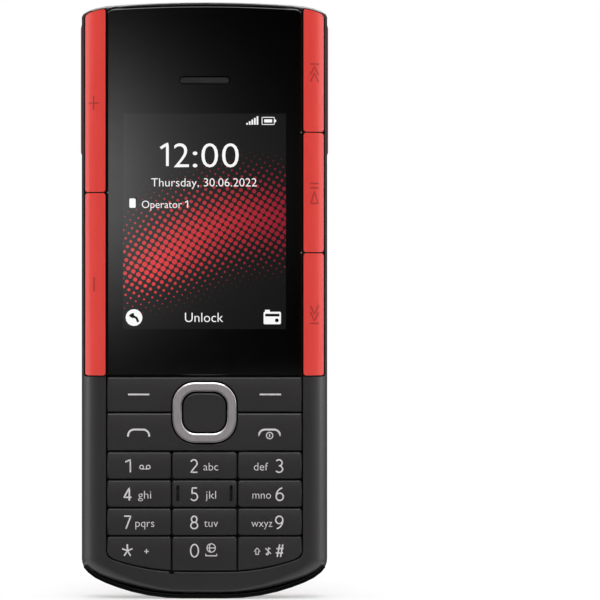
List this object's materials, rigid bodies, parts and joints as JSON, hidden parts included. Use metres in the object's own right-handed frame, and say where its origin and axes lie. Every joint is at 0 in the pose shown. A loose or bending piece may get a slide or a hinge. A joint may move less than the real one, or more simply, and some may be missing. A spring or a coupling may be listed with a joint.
{
  "type": "slider phone",
  "caption": "Bar phone with a number pad and a rocking ring; a cover on the back slides down and uncovers a bay with earbuds.",
  "frame": {"origin": "middle of the bounding box, at the lowest point of the bowed chin", "axes": "+Z along the phone towards the earpiece, -Y out of the screen, +X to the right when one looks at the screen"},
  "size_m": [0.0562, 0.0164, 0.1345],
  "materials": {
    "dark_shell": "satin dark grey",
    "dark_key": "satin dark grey",
    "red_plastic": "satin red",
    "red_key": "satin red",
    "black_glass": "polished, printed black on its inner side",
    "brushed_metal": "brushed with polished edges",
    "steel": "plain",
    "black_plastic": "matt",
    "silicone": "matt",
    "circuit_board": "solder mask",
    "display": "glossy",
    "battery_foil": "foil",
    "flash_plastic": "clear yellow",
    "soft_tip": "matt"
  },
  "bodies": {
    "phone": {"front_shell": "dark_shell", "rear_housing": "dark_shell", "back_cover": "dark_shell", "rear_frame": "red_plastic", "earbud_left": "red_plastic", "earbud_right": "red_plastic", "front_glass": "black_glass", "camera_window": "black_glass", "camera_bezel": "brushed_metal", "earpiece_grille": "steel", "speaker_grille_upper": "steel", "speaker_grille_lower": "steel", "usb_socket": "steel", "vibration_motor": "steel", "screw_upper_left": "steel", "screw_upper_right": "steel", "screw_lower_left": "steel", "screw_lower_right": "steel", "earpiece": "black_plastic", "antenna_carrier": "black_plastic", "camera_bridge": "black_plastic", "camera_module": "black_plastic", "speaker_upper": "black_plastic", "speaker_lower": "black_plastic", "headset_jack": "black_plastic", "earbud_tray": "black_plastic", "keypad_mat": "silicone", "switch_strip_left": "circuit_board", "switch_strip_right": "circuit_board", "main_board": "circuit_board", "display_module": "display", "battery": "battery_foil", "flash_lens": "flash_plastic", "ear_tip_left": "soft_tip", "ear_tip_right": "soft_tip"},
    "slider": {"slider_cover": "red_plastic", "slide_shoe_left": "black_plastic", "slide_shoe_right": "black_plastic"},
    "soft_keys": {"soft_key_bar": "dark_key"},
    "call_keys": {"call_key_bar": "dark_key"},
    "rocker": {"nav_rocker": "black_plastic"},
    "ring": {"nav_ring": "brushed_metal"},
    "select": {"select_key": "dark_key"},
    "digit_1": {"key_1": "dark_key"},
    "digit_2": {"key_2": "dark_key"},
    "digit_3": {"key_3": "dark_key"},
    "digit_4": {"key_4": "dark_key"},
    "digit_5": {"key_5": "dark_key"},
    "digit_6": {"key_6": "dark_key"},
    "digit_7": {"key_7": "dark_key"},
    "digit_8": {"key_8": "dark_key"},
    "digit_9": {"key_9": "dark_key"},
    "digit_star": {"key_star": "dark_key"},
    "digit_0": {"key_0": "dark_key"},
    "digit_hash": {"key_hash": "dark_key"},
    "volume_up_button": {"volume_up_key": "red_key"},
    "volume_down_button": {"volume_down_key": "red_key"},
    "previous_button": {"previous_key": "red_key"},
    "play_button": {"play_key": "red_key"},
    "next_button": {"next_key": "red_key"}
  },
  "joints": [
    {"name": "slider_slide", "type": "slide", "parent": "phone", "child": "slider", "axis": [0, 0, -1], "range_m": [0, 0.034]},
    {"name": "press_1", "type": "slide", "parent": "phone", "child": "digit_1", "axis": [0, 1, 0], "range_m": [0, 0.0003], "stiffness_N_per_m": 1000},
    {"name": "press_2", "type": "slide", "parent": "phone", "child": "digit_2", "axis": [0, 1, 0], "range_m": [0, 0.0003], "stiffness_N_per_m": 1000},
    {"name": "press_3", "type": "slide", "parent": "phone", "child": "digit_3", "axis": [0, 1, 0], "range_m": [0, 0.0003], "stiffness_N_per_m": 1000},
    {"name": "press_4", "type": "slide", "parent": "phone", "child": "digit_4", "axis": [0, 1, 0], "range_m": [0, 0.0003], "stiffness_N_per_m": 1000},
    {"name": "press_5", "type": "slide", "parent": "phone", "child": "digit_5", "axis": [0, 1, 0], "range_m": [0, 0.0003], "stiffness_N_per_m": 1000},
    {"name": "press_6", "type": "slide", "parent": "phone", "child": "digit_6", "axis": [0, 1, 0], "range_m": [0, 0.0003], "stiffness_N_per_m": 1000},
    {"name": "press_7", "type": "slide", "parent": "phone", "child": "digit_7", "axis": [0, 1, 0], "range_m": [0, 0.0003], "stiffness_N_per_m": 1000},
    {"name": "press_8", "type": "slide", "parent": "phone", "child": "digit_8", "axis": [0, 1, 0], "range_m": [0, 0.0003], "stiffness_N_per_m": 1000},
    {"name": "press_9", "type": "slide", "parent": "phone", "child": "digit_9", "axis": [0, 1, 0], "range_m": [0, 0.0003], "stiffness_N_per_m": 1000},
    {"name": "press_star", "type": "slide", "parent": "phone", "child": "digit_star", "axis": [0, 1, 0], "range_m": [0, 0.0003], "stiffness_N_per_m": 1000},
    {"name": "press_0", "type": "slide", "parent": "phone", "child": "digit_0", "axis": [0, 1, 0], "range_m": [0, 0.0003], "stiffness_N_per_m": 1000},
    {"name": "press_hash", "type": "slide", "parent": "phone", "child": "digit_hash", "axis": [0, 1, 0], "range_m": [0, 0.0003], "stiffness_N_per_m": 1000},
    {"name": "press_select", "type": "slide", "parent": "phone", "child": "select", "axis": [0, 1, 0], "range_m": [0, 0.0003], "stiffness_N_per_m": 1000},
    {"name": "press_volume_up", "type": "slide", "parent": "phone", "child": "volume_up_button", "axis": [0, 1, 0], "range_m": [0, 0.0003], "stiffness_N_per_m": 1000},
    {"name": "press_volume_down", "type": "slide", "parent": "phone", "child": "volume_down_button", "axis": [0, 1, 0], "range_m": [0, 0.0003], "stiffness_N_per_m": 1000},
    {"name": "press_previous", "type": "slide", "parent": "phone", "child": "previous_button", "axis": [0, 1, 0], "range_m": [0, 0.0003], "stiffness_N_per_m": 1000},
    {"name": "press_play", "type": "slide", "parent": "phone", "child": "play_button", "axis": [0, 1, 0], "range_m": [0, 0.0003], "stiffness_N_per_m": 1000},
    {"name": "press_next", "type": "slide", "parent": "phone", "child": "next_button", "axis": [0, 1, 0], "range_m": [0, 0.0003], "stiffness_N_per_m": 1000},
    {"name": "rock_soft_keys", "type": "hinge", "parent": "phone", "child": "soft_keys", "pos_m": [0, -0.0061, 0.046], "axis": [0, 0, 1], "range_deg": [-0.7, 0.7], "stiffness_Nm_per_rad": 0.4},
    {"name": "rock_call_keys", "type": "hinge", "parent": "phone", "child": "call_keys", "pos_m": [0, -0.0061, 0.0375], "axis": [0, 0, 1], "range_deg": [-0.7, 0.7], "stiffness_Nm_per_rad": 0.4},
    {"name": "ring_up_down", "type": "hinge", "parent": "phone", "child": "rocker", "pos_m": [0, -0.00628, 0.04195], "axis": [1, 0, 0], "range_deg": [-2, 2], "stiffness_Nm_per_rad": 0.05},
    {"name": "ring_left_right", "type": "hinge", "parent": "rocker", "child": "ring", "pos_m": [0, -0.0066, 0.04195], "axis": [0, 0, 1], "range_deg": [-2, 2], "stiffness_Nm_per_rad": 0.05}
  ]
}
